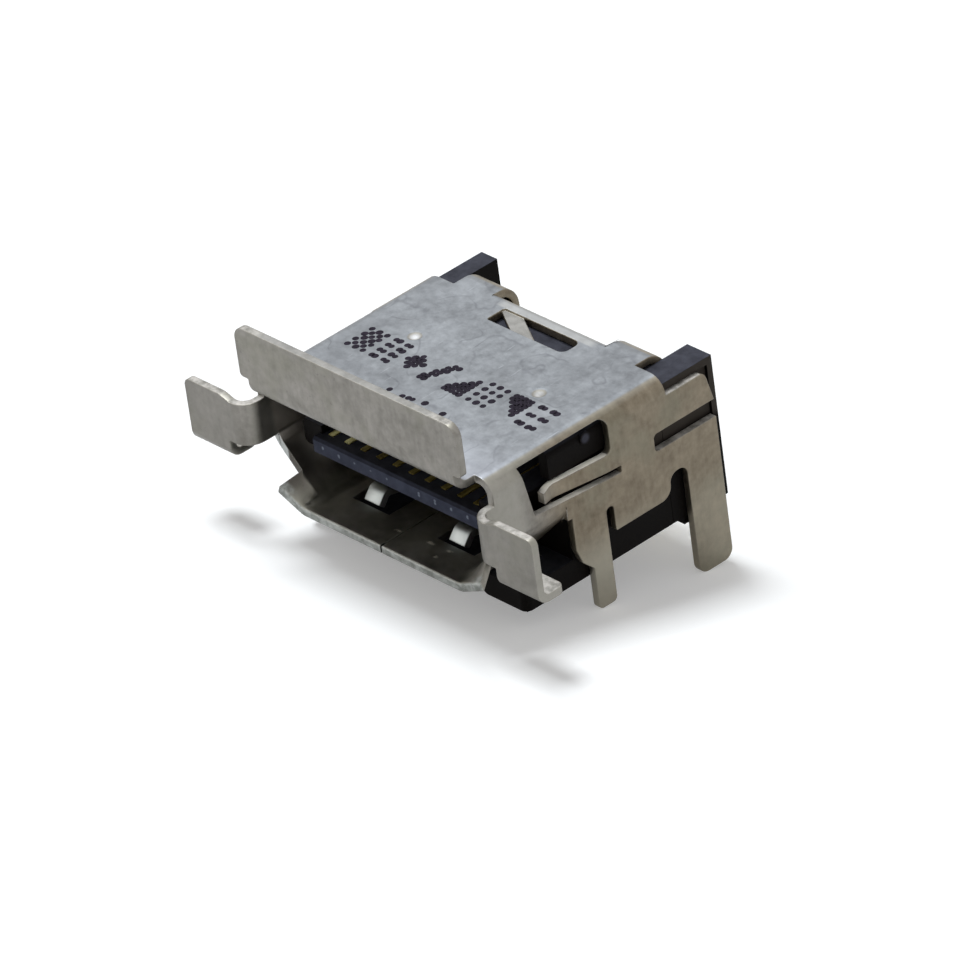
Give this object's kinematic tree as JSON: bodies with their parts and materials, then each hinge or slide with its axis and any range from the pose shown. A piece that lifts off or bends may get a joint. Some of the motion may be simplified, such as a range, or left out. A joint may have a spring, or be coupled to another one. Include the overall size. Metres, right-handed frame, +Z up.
{
  "type": "hdmi board receptacle",
  "caption": "Board-mount socket for a rectangular digital video plug: folded sheet-metal shell with front flange, side ears and solder legs over a black insulator with tongue contacts.",
  "frame": {"origin": "centre of the overall width and depth, at the tips of the longer rear legs; the circuit board's upper face is 2.5 mm above it", "axes": "+X to the right looking into the mouth, across the ears; +Y from the mouth towards the tails; +Z up from the board"},
  "size_m": [0.0216, 0.0148, 0.0132],
  "materials": {
    "shell": "dull plated sheet metal",
    "insulator": "matt black moulded plastic",
    "contacts": "thin dull gold plating"
  },
  "bodies": {
    "root": {"shell": "shell", "housing": "insulator", "tail_aligner": "insulator", "contact_01": "contacts", "contact_02": "contacts", "contact_03": "contacts", "contact_04": "contacts", "contact_05": "contacts", "contact_06": "contacts", "contact_07": "contacts", "contact_08": "contacts", "contact_09": "contacts", "contact_10": "contacts", "contact_11": "contacts", "contact_12": "contacts", "contact_13": "contacts", "contact_14": "contacts", "contact_15": "contacts", "contact_16": "contacts", "contact_17": "contacts", "contact_18": "contacts", "contact_19": "contacts"}
  },
  "joints": []
}
